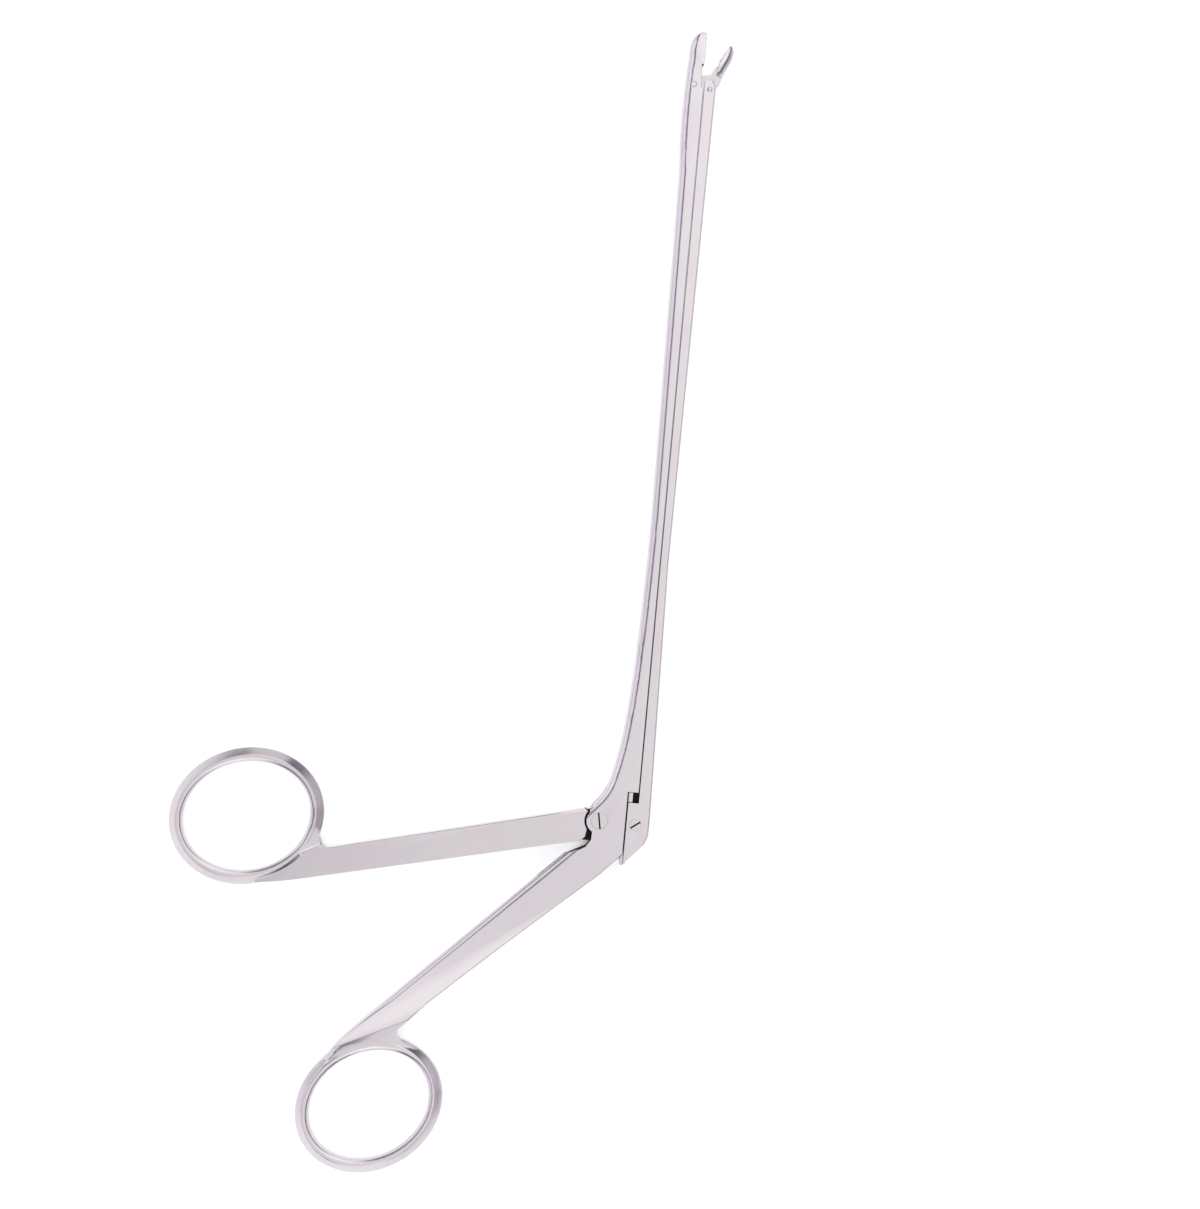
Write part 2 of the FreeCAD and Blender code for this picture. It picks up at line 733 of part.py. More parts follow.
round_edges(fixed, is_spine, "spine_round", "spine_rounding")
is_palm_inner = on_finger_side("palm", "palm_inner_station", "palm_bend_station", "0.75 * palm_inner_root")
round_edges(fixed, is_palm_inner, "palm_round", "palm_rounding")
arm_facet(fixed, "palm", 1)
horn_sketch = new_sketch(fixed, "XY_Plane", "horn_sketch")
draw_loop(horn_sketch, [
    ("2 * spine_top_x - horn_x", "2 * spine_top_level - horn_y"),
    ("2 * spine_top_x - horn_x", "horn_y + 2 * horn_spare"),
    ("horn_x - horn_spare", "horn_y + 2 * horn_spare"),
    boss_start,
    ("horn_x", "horn_y"),
])
pocket(fixed, horn_sketch, "body_thickness", "horn_cut", backwards=True)
finger_ring(fixed, "palm")
cup(fixed, "fixed_cup", "rim_level", "(spine_cup_level - rim_level)", 1)
hollow(fixed, "fixed_hollow", "rim_level")

slot_foot = "seam_level - " + SPARE
rear_slot = rail_section(fixed, "rear_slot_section", "step_x - " + SPARE, "rail_gap", slot_foot)
pocket(fixed, rear_slot, "rear_slot_end_x - step_x + " + SPARE, "rear_slot", backwards=True)
front_slot = rail_section(fixed, "front_slot_section", "front_slot_x", "rail_gap", slot_foot)
pocket(fixed, front_slot, "front_slot_end_x - front_slot_x", "front_slot", backwards=True)
entry_sketch = new_sketch(fixed, "YZ_Plane", "entry_sketch", "front_slot_x - entry_length")
draw_box(entry_sketch, slot_foot, MID + " - rail_flange_width / 2 - rail_gap",
         "rail_top_level + rail_gap", MID + " + rail_flange_width / 2 + rail_gap")
pocket(fixed, entry_sketch, "entry_length", "rail_entry", backwards=True)

slot_sketch = new_sketch(fixed, "XY_Plane", "lever_slot_sketch", MID + " + slot_width / 2")
draw_circle(slot_sketch, "slot_cutter_x", "slot_cutter_y", "slot_cutter_radius")
pocket(fixed, slot_sketch, "slot_width", "lever_slot")
mortise_sketch = new_sketch(fixed, "XY_Plane", "mortise_sketch", MID + " + slot_width / 2")
draw_loop(mortise_sketch, [
    ("slide_rear_x - " + SPARE, "floor_level - " + SPARE),
    ("mortise_front_x", "floor_level - " + SPARE),
    ("mortise_front_x", "0"),
    ("mortise_rear_x", "0"),
    ("mortise_rear_x", "lug_groove_level"),
    ("slide_rear_x - " + SPARE, "lug_groove_level"),
])
pocket(fixed, mortise_sketch, "slot_width", "lever_mortise")

tang_slot_sketch = new_sketch(fixed, "XY_Plane", "tang_slot_sketch", MID + " + tang_slot_width / 2")
draw_box(tang_slot_sketch, "tang_slot_rear_x", slot_foot, "tang_slot_front_x", "tang_slot_level")
pocket(fixed, tang_slot_sketch, "tang_slot_width", "tang_slot")

jaw_hole_sketch = new_sketch(fixed, "XY_Plane", "jaw_hole_sketch")
draw_circle(jaw_hole_sketch, "jaw_pivot_x", "jaw_pivot_y", "jaw_pin_radius + pin_fit")
pocket(fixed, jaw_hole_sketch, "body_thickness", "jaw_pin_hole", backwards=True)
pivot_hole_sketch = new_sketch(fixed, "XY_Plane", "pivot_hole_sketch", "pivot_floor")
draw_circle(pivot_hole_sketch, "0", "0", "pivot_shank_radius + pin_fit")
pocket(fixed, pivot_hole_sketch, "body_thickness", "pivot_hole", backwards=True)
pivot_head_sketch = new_sketch(fixed, "XY_Plane", "pivot_head_sketch", "body_thickness")
draw_circle(pivot_head_sketch, "0", "0", "pivot_head_radius + pin_fit")
pocket(fixed, pivot_head_sketch, "pivot_head_height", "pivot_head_seat")


# Finger lever: moving handle with ring, tongue and drive end

lever = new_body("finger_lever")
lever_sketch = new_sketch(lever, "XY_Plane", "lever_outline")
relief = "(boss_radius + shoulder_gap)"
draw_loop(lever_sketch, [
    on_arm("lever", "lever_front_station", "-lever_half_root"),
    on_arm("lever", "lever_end_station - throat_rise", "-lever_half_end"),
    on_arm("lever", "lever_end_station", "-lever_half_end - lever_throat_depth")
    + ("lever_throat_radius", "cw"),
    on_ring("lever", "lever_leave_angle", "lever_leave_share"),
    inside_band("lever", 0.67),
    inside_band("lever", 0.33),
    on_ring("lever", "lever_join_angle - 1", "ring_root_share"),
    on_ring("lever", "lever_join_angle", "ring_join_share"),
    on_arm("lever", "lever_bend_station", "lever_half_end") + ("lever_join_radius", "ccw"),
    on_arm("lever", "heel_station", "lever_half_root"),
    ("heel_x", "heel_y"),
    (relief + " * cos(relief_rear_angle)", relief + " * sin(relief_rear_angle)"),
    (relief + " * cos(relief_front_angle)", relief + " * sin(relief_front_angle)", relief, "cw"),
])
pad(lever, lever_sketch, "body_thickness", "lever_blank")
thin_arm(lever, "lever")
is_lever_top = on_finger_side("lever", "lever_front_station", "lever_end_station", "0.75 * lever_half_end")
round_edges(lever, is_lever_top, "lever_round", "lever_rounding")
arm_facet(lever, "lever", -1)
finger_ring(lever, "lever")

tongue_sketch = new_sketch(lever, "XY_Plane", "tongue_outline", MID + " - slot_width / 2 + slot_gap")
draw_loop(tongue_sketch, [
    ("tongue_rear_x", "tongue_root_y"),
    ("tongue_rear_x", "tongue_rear_y"),
    ("-drive_offset - drive_end_radius", "tongue_neck_level"),
    ("-drive_offset - drive_end_radius", "-drive_arm"),
    ("-drive_offset", "-drive_arm - drive_end_radius", "drive_end_radius", "ccw"),
    ("-drive_offset + drive_end_radius", "-drive_arm", "drive_end_radius", "ccw"),
    ("-drive_offset + drive_end_radius", "tongue_neck_level"),
    ("tongue_front_x", "tongue_front_y"),
    ("tongue_root_x", "tongue_root_y"),
])
pad(lever, tongue_sketch, "slot_width - 2 * slot_gap", "tongue")
lever_pivot_sketch = new_sketch(lever, "XY_Plane", "lever_pivot_sketch")
draw_circle(lever_pivot_sketch, "0", "0", "pivot_shank_radius + running_fit")
pocket(lever, lever_pivot_sketch, "body_thickness", "lever_pivot_hole", backwards=True)
drive_slot_sketch = new_sketch(lever, "XY_Plane", "drive_slot_sketch")
draw_slot(drive_slot_sketch, "0", "0", "(-90 deg - atan(drive_offset / drive_arm))",
          "sqrt(drive_arm^2 + drive_offset^2) - drive_slot_play",
          "sqrt(drive_arm^2 + (%s - drive_offset)^2) + drive_slot_play" % TRAVEL,
          "(drive_shank_radius + running_fit)")
pocket(lever, drive_slot_sketch, "body_thickness", "drive_slot", backwards=True)


# Sliding shaft with its rails, rear fork and front clevis

slide = new_body("sliding_shaft")
slide_sketch = new_sketch(slide, "XY_Plane", "slide_outline")
draw_loop(slide_sketch, [
    ("slide_front_x", SLIDE_TOP),
    ("slide_shoulder_x", SLIDE_TOP),
    ("slide_shoulder_x", BLOCK_TOP),
    ("slide_rear_x", BLOCK_TOP),
    ("slide_heel_x", "slide_heel_level"),
    ("slide_toe_x", "slide_toe_level"),
    ("slide_block_x", "slide_block_level"),
    ("slide_waist_x", "slide_waist_level"),
    ("slide_nose_x", "slide_nose_level"),
    ("slide_front_x - slide_tip_cut", "slide_nose_level"),
    ("slide_front_x", "slide_tip_level"),
])
pad(slide, slide_sketch, "body_thickness", "slide_blank")
taper_shaft(slide, "cup_base_x + 1")


def is_slide_back(middle, edge):
    return middle.y < number("slide_waist_level") and level_edge(edge)


round_edges(slide, is_slide_back, "slide_round", "slide_rounding")
rear_rail = rail_section(slide, "rear_rail_section", "slide_shoulder_x", "0", SLIDE_TOP + " - root_depth")
pad(slide, rear_rail, "rear_rail_length", "rear_rail")
front_rail = rail_section(slide, "front_rail_section", "front_rail_x", "0", SLIDE_TOP + " - root_depth")
pad(slide, front_rail, "front_rail_length", "front_rail")
lug_sketch = new_sketch(slide, "XY_Plane", "lug_sketch", MID + " - slot_width / 2 + slot_gap")
draw_loop(lug_sketch, [
    ("lug_front_x", "lug_level"),
    ("lug_rear_x + lug_round", "lug_level"),
    ("lug_rear_x", "lug_level - lug_round", "lug_round", "ccw"),
    ("slide_rear_x", BLOCK_TOP + " - root_depth"),
    ("lug_front_x", BLOCK_TOP + " - root_depth"),
])
pad(slide, lug_sketch, "slot_width - 2 * slot_gap", "guide_lug")
fork_sketch = new_sketch(slide, "XY_Plane", "fork_sketch", MID + " + slot_width / 2")
draw_box(fork_sketch, "fork_rear_x", "fork_floor_level", "fork_front_x", "floor_level + " + SPARE)
pocket(slide, fork_sketch, "slot_width", "rear_fork")
clevis_sketch = new_sketch(slide, "XY_Plane", "clevis_sketch", MID + " + tang_slot_width / 2")
draw_box(clevis_sketch, "clevis_rear_x", "slide_nose_level - " + SPARE,
         "slide_front_x + " + SPARE, "seam_level + " + SPARE)
pocket(slide, clevis_sketch, "tang_slot_width", "front_clevis")
LINK_X = "(jaw_pivot_x + link_forward - %s)" % TRAVEL
LINK_Y = "(jaw_pivot_y - link_down)"
link_hole_sketch = new_sketch(slide, "XY_Plane", "link_hole_sketch")
draw_circle(link_hole_sketch, LINK_X, LINK_Y, "link_pin_radius + pin_fit")
pocket(slide, link_hole_sketch, "body_thickness", "link_pin_hole", backwards=True)
drive_hole_sketch = new_sketch(slide, "XY_Plane", "drive_hole_sketch")
draw_circle(drive_hole_sketch, "-drive_offset", "-drive_arm", "drive_shank_radius + pin_fit")
pocket(slide, drive_hole_sketch, "body_thickness", "drive_hole", backwards=True)
drive_head_sketch = new_sketch(slide, "XY_Plane", "drive_head_sketch", "body_thickness")
draw_circle(drive_head_sketch, "-drive_offset", "-drive_arm", "drive_head_radius + pin_fit")
pocket(slide, drive_head_sketch, "drive_head_height", "drive_head_seat")


# Moving jaw, drawn closed and turned open about its pivot


def beside_boss(centre, radius, angle):
    """Point on the edge of a round boss."""
    x = "%s + %s * cos(%s)" % (centre[0], radius, angle)
    y = "%s + %s * sin(%s)" % (centre[1], radius, angle)
    return x, y


jaw = new_body("moving_jaw")
cup(jaw, "jaw_cup", JAW_RIM, "jaw_depth", -1)
tang_sketch = new_sketch(jaw, "XY_Plane", "tang_outline", MID + " - tang_width / 2")
pivot = ("jaw_pivot_x", "jaw_pivot_y")
link = ("(jaw_pivot_x + link_forward)", LINK_Y)
draw_loop(tang_sketch, [
    ("tang_brow_x", "tang_brow_level"),
    beside_boss(pivot, "tang_pivot_boss", "tang_brow_angle"),
    beside_boss(pivot, "tang_pivot_boss", "tang_rear_angle") + ("tang_pivot_boss", "ccw"),
    beside_boss(link, "tang_link_boss", "tang_rear_angle"),
    beside_boss(link, "tang_link_boss", "tang_foot_angle") + ("tang_link_boss", "ccw"),
    ("tang_tail_x", "tang_tail_level"),
    ("tang_back_x", "tang_back_level"),
    ("cup_base_x + root_depth", JAW_RIM + " - jaw_depth"),
    ("tang_root_x", JAW_RIM + " - jaw_depth + root_depth"),
    ("tang_root_x", JAW_RIM),
    ("tang_chin_x", JAW_RIM),
])
pad(jaw, tang_sketch, "tang_width", "tang")
for heel_side, heel_level in (("top", "body_thickness"), ("low", "0")):
    heel_sketch = new_sketch(jaw, "XY_Plane", "heel_%s_sketch" % heel_side, heel_level)
    draw_loop(heel_sketch, [
        ("cup_base_x - " + SPARE, JAW_RIM + " + " + SPARE),
        ("cup_base_x - " + SPARE, JAW_RIM + " - jaw_heel_depth"),
        ("cup_base_x", JAW_RIM + " - jaw_heel_depth"),
        ("tang_root_x", JAW_RIM),
        ("tang_root_x", JAW_RIM + " + " + SPARE),
    ])
    beside_tang = MID + " - tang_width / 2"
    pocket(jaw, heel_sketch, beside_tang, "heel_cut_" + heel_side, backwards=heel_side == "low")
hollow(jaw, "jaw_hollow", JAW_RIM)
jaw_bore_sketch = new_sketch(jaw, "XY_Plane", "jaw_bore_sketch")
draw_circle(jaw_bore_sketch, "jaw_pivot_x", "jaw_pivot_y", "jaw_pin_radius + running_fit")
pocket(jaw, jaw_bore_sketch, "body_thickness", "jaw_bore", backwards=True)
link_slot_sketch = new_sketch(jaw, "XY_Plane", "link_slot_sketch")
draw_slot(link_slot_sketch, "jaw_pivot_x", "jaw_pivot_y", "(atan(link_forward / link_down) - 90 deg)",
          "link_down - link_slot_play", "sqrt(link_forward^2 + link_down^2) + link_slot_play",
          "(link_pin_radius + running_fit)")
pocket(jaw, link_slot_sketch, "body_thickness", "link_slot", backwards=True)
jaw_turn = FreeCAD.Rotation(FreeCAD.Vector(0, 0, 1), -number("jaw_swing"))
jaw.Placement = FreeCAD.Placement(FreeCAD.Vector(), jaw_turn)
kept = "(1 - cos(jaw_swing))"
jaw.setExpression("Placement.Rotation.Angle", bound("-jaw_swing"))
jaw.setExpression("Placement.Base.x", bound("jaw_pivot_x * %s - jaw_pivot_y * sin(jaw_swing)" % kept))
jaw.setExpression("Placement.Base.y", bound("jaw_pivot_y * %s + jaw_pivot_x * sin(jaw_swing)" % kept))


# Pins of the jaw, riveted over and ground flush


def flush_pin(name, x, y, radius, at_x):
    """Pin across the shaft, as long as the shaft is wide there."""
    body = new_body(name)
    half = "(%s - pin_inset)" % half_width_at(at_x)
    sketch = new_sketch(body, "XY_Plane", name + "_circle", MID + " - " + half)
    draw_circle(sketch, x, y, radius)
    pad(body, sketch, "2 * " + half, name + "_rod")
    return body


jaw_pin = flush_pin("jaw_pivot_pin", "jaw_pivot_x", "jaw_pivot_y", "jaw_pin_radius", "jaw_pivot_x")
link_pin = flush_pin("jaw_link_pin", LINK_X, LINK_Y, "link_pin_radius", LINK_X)


# Slotted screws of the handle pivot and the drive joint


def slotted_screw(name, x, y, foot, shank, head, height, slot_length, turn):
    """Turned screw with a flat head sunk flush, and its slot across the head."""
    body = new_body(name)
    profile = new_sketch(body, "XZ_Plane", name + "_profile", "-(%s)" % y)
    profile.setExpression("AttachmentOffset.Base.x", bound(x))
    seat = "body_thickness - " + height
    top = "body_thickness - pin_inset"
    draw_loop(profile, [
        ("0", foot),
        (shank, foot),
        (shank, seat),
        (head, seat),
        (head, top + " - edge_break"),
        (head + " - edge_break", top),
        ("0", top),
    ])
    feature = body.newObject("PartDesign::Revolution", name + "_turned")
    feature.Profile = profile
    feature.ReferenceAxis = (profile, ["V_Axis"])
    feature.Angle = 360
    doc.recompute()
    cut = new_sketch(body, "XY_Plane", name + "_slot_sketch", top)
    across = "(%s / 2)" % slot_length
    draw_slot(cut, x, y, turn, "-" + across, across, "(screw_slot_width / 2)")
    pocket(body, cut, "screw_slot_depth", name + "_slot")
    return body


pivot_screw = slotted_screw("handle_pivot_screw", "0", "0", "(pivot_floor + pin_inset)",
                            "pivot_shank_radius", "pivot_head_radius", "pivot_head_height",
                            "pivot_slot_length", "pivot_slot_turn")
drive_screw = slotted_screw("drive_screw", "-drive_offset", "-drive_arm", "pin_inset",
                            "drive_shank_radius", "drive_head_radius", "drive_head_height",
                            "drive_slot_length", "drive_slot_turn")


# Checks, then one file for each piece

doc.recompute()
failed = [item.Name for item in doc.Objects if "Invalid" in item.State or "Error" in item.State]
if failed:
    raise ValueError("failed: " + ", ".join(failed))

pieces = [fixed, lever, slide, jaw, jaw_pin, link_pin, pivot_screw, drive_screw]
for piece in pieces:
    shape = piece.Shape
    if shape.isNull() or not shape.isValid() or len(shape.Solids) != 1:
        raise ValueError(piece.Label + " is not one valid solid")

os.makedirs("parts", exist_ok=True)
for piece in pieces:
    piece.Shape.exportStep("parts/%s.step" % piece.Label)
    print(piece.Label, round(piece.Shape.Volume, 2), "mm3")
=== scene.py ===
import bpy
import math
from mathutils import Matrix, Vector


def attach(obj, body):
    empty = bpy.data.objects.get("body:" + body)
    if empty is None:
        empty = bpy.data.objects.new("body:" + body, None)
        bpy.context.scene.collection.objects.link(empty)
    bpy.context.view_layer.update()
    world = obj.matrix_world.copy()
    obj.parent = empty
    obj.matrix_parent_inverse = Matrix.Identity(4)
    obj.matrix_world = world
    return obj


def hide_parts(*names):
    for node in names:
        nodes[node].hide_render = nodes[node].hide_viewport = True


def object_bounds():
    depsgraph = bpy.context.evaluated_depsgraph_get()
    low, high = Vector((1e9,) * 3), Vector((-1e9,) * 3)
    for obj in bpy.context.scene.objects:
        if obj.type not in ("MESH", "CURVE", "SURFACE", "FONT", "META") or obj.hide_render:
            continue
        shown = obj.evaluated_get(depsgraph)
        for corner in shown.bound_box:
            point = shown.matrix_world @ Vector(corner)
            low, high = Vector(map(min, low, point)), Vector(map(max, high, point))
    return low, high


# Pituitary rongeur lying on its side, dressed in satin steel. Metres.
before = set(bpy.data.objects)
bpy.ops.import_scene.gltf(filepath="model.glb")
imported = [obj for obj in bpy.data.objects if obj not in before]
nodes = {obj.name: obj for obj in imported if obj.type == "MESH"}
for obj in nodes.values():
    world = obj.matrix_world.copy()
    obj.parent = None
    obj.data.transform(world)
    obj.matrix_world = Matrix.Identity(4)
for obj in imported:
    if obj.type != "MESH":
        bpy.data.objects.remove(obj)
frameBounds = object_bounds()
mm = 0.001
middle = (0.05, 0.02)         # about the middle of the object on the floor


# stage: camera, floor, lights

cameraSettings = {
    "aimX": 0.04928,          # point of the object in the middle of the picture
    "aimY": 0.00437,
    "level": 0.0065,          # height of the faces that the width is measured on
    "distance": 0.88,
    "viewWidth": 0.2742,
    "turn": -84.75,           # the shaft stands nearly upright in the picture
    "sensor": 36,
    "nearest": 0.01,
}


def addCamera(s):
    lens = bpy.data.cameras.new("camera")
    lens.sensor_fit = "HORIZONTAL"
    lens.sensor_width = s["sensor"]
    lens.lens = s["sensor"] * s["distance"] / s["viewWidth"]
    lens.clip_start = s["nearest"]
    holder = bpy.data.objects.new("camera", lens)
    bpy.context.scene.collection.objects.link(holder)
    holder.location = (s["aimX"], s["aimY"], s["level"] + s["distance"])
    holder.rotation_euler = (0, 0, math.radians(s["turn"]))
    bpy.context.scene.camera = holder


floorSettings = {
    "size": 6.0,
    "drop": 0.0001,           # the floor is this far under the lowest face
    "colour": (0.6, 0.6, 0.6, 1),
    "glow": 0.70,             # brings the unshaded floor up to white
    "shadeReach": 0.004,      # in narrow gaps the glow fades, so they stay dark
    "fade": (0.05, 0.35),     # how open a place is where the glow begins, and where it is whole
}


def addFloor(s):
    bpy.ops.object.select_all(action="DESELECT")
    place = (*middle, frameBounds[0][2] - s["drop"])
    bpy.ops.mesh.primitive_plane_add(size=s["size"], location=place)
    bpy.ops.object.transform_apply(location=True, rotation=True, scale=True)
    floor = bpy.context.object
    floor.name = "floor"
    paint = bpy.data.materials.new("paleFloor")
    paint.use_nodes = True
    tree = paint.node_tree
    tree.nodes.clear()
    out = tree.nodes.new("ShaderNodeOutputMaterial")
    plain = tree.nodes.new("ShaderNodeBsdfDiffuse")
    plain.inputs["Color"].default_value = s["colour"]
    glow = tree.nodes.new("ShaderNodeEmission")
    glow.inputs["Color"].default_value = (1, 1, 1, 1)
    both = tree.nodes.new("ShaderNodeAddShader")
    pick = tree.nodes.new("ShaderNodeMixShader")
    path = tree.nodes.new("ShaderNodeLightPath")
    shows = tree.nodes.new("ShaderNodeMath")
    shows.operation = "MAXIMUM"
    seen = tree.nodes.new("ShaderNodeMath")
    seen.operation = "MAXIMUM"
    shade = tree.nodes.new("ShaderNodeAmbientOcclusion")
    shade.inputs["Distance"].default_value = s["shadeReach"]
    fade = tree.nodes.new("ShaderNodeMapRange")
    fade.inputs["From Min"].default_value = s["fade"][0]
    fade.inputs["From Max"].default_value = s["fade"][1]
    fade.inputs["To Max"].default_value = s["glow"]
    tree.links.new(shade.outputs["AO"], fade.inputs["Value"])
    tree.links.new(fade.outputs[0], glow.inputs["Strength"])
    tree.links.new(path.outputs["Is Camera Ray"], shows.inputs[0])
    tree.links.new(path.outputs["Is Glossy Ray"], shows.inputs[1])
    tree.links.new(shows.outputs[0], seen.inputs[0])
    tree.links.new(path.outputs["Is Transmission Ray"], seen.inputs[1])
    tree.links.new(plain.outputs[0], both.inputs[0])
    tree.links.new(glow.outputs[0], both.inputs[1])
    tree.links.new(seen.outputs[0], pick.inputs[0])
    tree.links.new(plain.outputs[0], pick.inputs[1])
    tree.links.new(both.outputs[0], pick.inputs[2])
    tree.links.new(pick.outputs[0], out.inputs["Surface"])
    floor.data.materials.append(paint)


skySettings = {
    # brightness across the room, from -Y (-1) over the lamp bar overhead to +Y (1)
    "across": [(-1.0, (0.74, 0.72, 0.76)), (-0.75, (0.74, 0.72, 0.76)), (-0.60, (0.24, 0.22, 0.28)),
               (-0.45, (0.12, 0.11, 0.15)), (-0.36, (0.14, 0.13, 0.18)), (-0.33, (0.95, 0.95, 0.95)),
               (-0.12, (1.10, 1.09, 1.09)), (-0.012, (0.93, 0.92, 0.92)), (0.195, (0.93, 0.92, 0.92)),
               (0.22, (0.12, 0.11, 0.15)), (0.42, (0.12, 0.11, 0.15)), (0.58, (0.80, 0.77, 0.86)),
               (1.0, (1.0, 0.98, 1.04))],
    # how much brighter it gets along the room, from -X to +X
    "along": [(-1.0, 1.30), (-0.36, 1.30), (-0.14, 1.0), (0.02, 1.0), (0.16, 1.30), (1.0, 1.30)],
    # the walls are darker near the floor: low height, high height, brightness at the low one
    "horizon": (0.0, 0.33, 0.38),
}


def addSteps(tree, direction, places):
    # a list of colours for places from -1 to 1
    spread = tree.nodes.new("ShaderNodeMapRange")
    spread.inputs["From Min"].default_value = -1.0
    ramp = tree.nodes.new("ShaderNodeValToRGB")
    steps = ramp.color_ramp.elements
    while len(steps) > 1:
        steps.remove(steps[-1])
    for i, (place, colour) in enumerate(places):
        step = steps[0] if i == 0 else steps.new((place + 1) / 2)
        step.position = (place + 1) / 2
        step.color = list(colour) + [1]
    tree.links.new(direction, spread.inputs["Value"])
    tree.links.new(spread.outputs[0], ramp.inputs[0])
    return ramp


def addSky(s):
    world = bpy.data.worlds.new("studio")
    bpy.context.scene.world = world
    world.use_nodes = True
    tree = world.node_tree
    tree.nodes.clear()
    out = tree.nodes.new("ShaderNodeOutputWorld")
    room = tree.nodes.new("ShaderNodeBackground")
    pale = tree.nodes.new("ShaderNodeBackground")
    pale.inputs["Color"].default_value = (1, 1, 1, 1)
    pick = tree.nodes.new("ShaderNodeMixShader")
    path = tree.nodes.new("ShaderNodeLightPath")
    where = tree.nodes.new("ShaderNodeTexCoord")
    parts = tree.nodes.new("ShaderNodeSeparateXYZ")
    sideways = addSteps(tree, parts.outputs["Y"], s["across"])
    greys = [(place, (share, share, share)) for place, share in s["along"]]
    lengthways = addSteps(tree, parts.outputs["X"], greys)
    walls = tree.nodes.new("ShaderNodeMapRange")
    low, high, least = s["horizon"]
    walls.inputs["From Min"].default_value = low
    walls.inputs["From Max"].default_value = high
    walls.inputs["To Min"].default_value = least
    level = tree.nodes.new("ShaderNodeMath")
    level.operation = "MULTIPLY"
    tree.links.new(where.outputs["Generated"], parts.inputs[0])
    tree.links.new(parts.outputs["Z"], walls.inputs["Value"])
    tree.links.new(lengthways.outputs[0], level.inputs[0])
    tree.links.new(walls.outputs[0], level.inputs[1])
    tree.links.new(sideways.outputs[0], room.inputs["Color"])
    tree.links.new(level.outputs[0], room.inputs["Strength"])
    tree.links.new(path.outputs["Is Camera Ray"], pick.inputs[0])
    tree.links.new(room.outputs[0], pick.inputs[1])
    tree.links.new(pale.outputs[0], pick.inputs[2])
    tree.links.new(pick.outputs[0], out.inputs["Surface"])


lampSettings = {
    "key": {"place": (0.05, -0.22, 0.9), "size": 0.25, "power": 0.03},
    "fill": {"place": (-0.7, -0.1, 0.6), "size": 0.4, "power": 0.03},
}


def addLamps(lamps):
    for name, s in lamps.items():
        light = bpy.data.lights.new(name, "AREA")
        light.size = s["size"]
        light.energy = s["power"]
        holder = bpy.data.objects.new(name, light)
        bpy.context.scene.collection.objects.link(holder)
        holder.location = s["place"]
        aim = Vector((*middle, 0)) - Vector(s["place"])
        holder.rotation_euler = aim.to_track_quat("-Z", "Y").to_euler()


bpy.context.scene.view_settings.view_transform = "Standard"
addCamera(cameraSettings)
addFloor(floorSettings)
addSky(skySettings)
addLamps(lampSettings)
print("stage is set")


# steel finishes

steelFinishes = {
    # long and wide: size of the polishing's marks, which run along X
    # turn: degrees that turn the marks' pattern, so that no two steels look alike
    "forgedSatin": {"tint": (0.720, 0.680, 0.706), "rough": 0.20,
                    "turn": 0, "long": 0.006, "wide": 0.00035},
    "leverSatin": {"tint": (0.715, 0.676, 0.700), "rough": 0.20,
                   "turn": 103.5, "long": 0.006, "wide": 0.00035},
    "slideSatin": {"tint": (0.725, 0.690, 0.714), "rough": 0.20,
                   "turn": 0, "long": 0.010, "wide": 0.0003},
    "jawPolish": {"tint": (0.680, 0.650, 0.675), "rough": 0.16,
                  "turn": 0, "long": 0.0015, "wide": 0.0004},
    "pinSteel": {"tint": (0.700, 0.685, 0.720), "rough": 0.20,
                 "turn": 30, "long": 0.0008, "wide": 0.0002},
    "screwSteel": {"tint": (0.715, 0.680, 0.705), "rough": 0.22,
                   "turn": 75, "long": 0.0012, "wide": 0.0002},
}

# what all the finishes share
polishSettings = {
    "markDetail": 3.0,
    "markSpan": (0.3, 0.7),   # part of the noise that the marks' shades and gloss run over
    "markShade": 0.985,       # how bright a mark is beside the steel
    "smoother": 0.02,         # how far the gloss goes to either side of the finish's own
    "rougher": 0.03,
    "bump": 0.05,
    "depth": 0.00001,
    "patchScale": 90.0,       # soft patches, as handling leaves them
    "patchDetail": 2.0,
    "patchSpan": (0.35, 0.65),
    "patchTint": (0.975, 0.965, 0.98, 1),
}


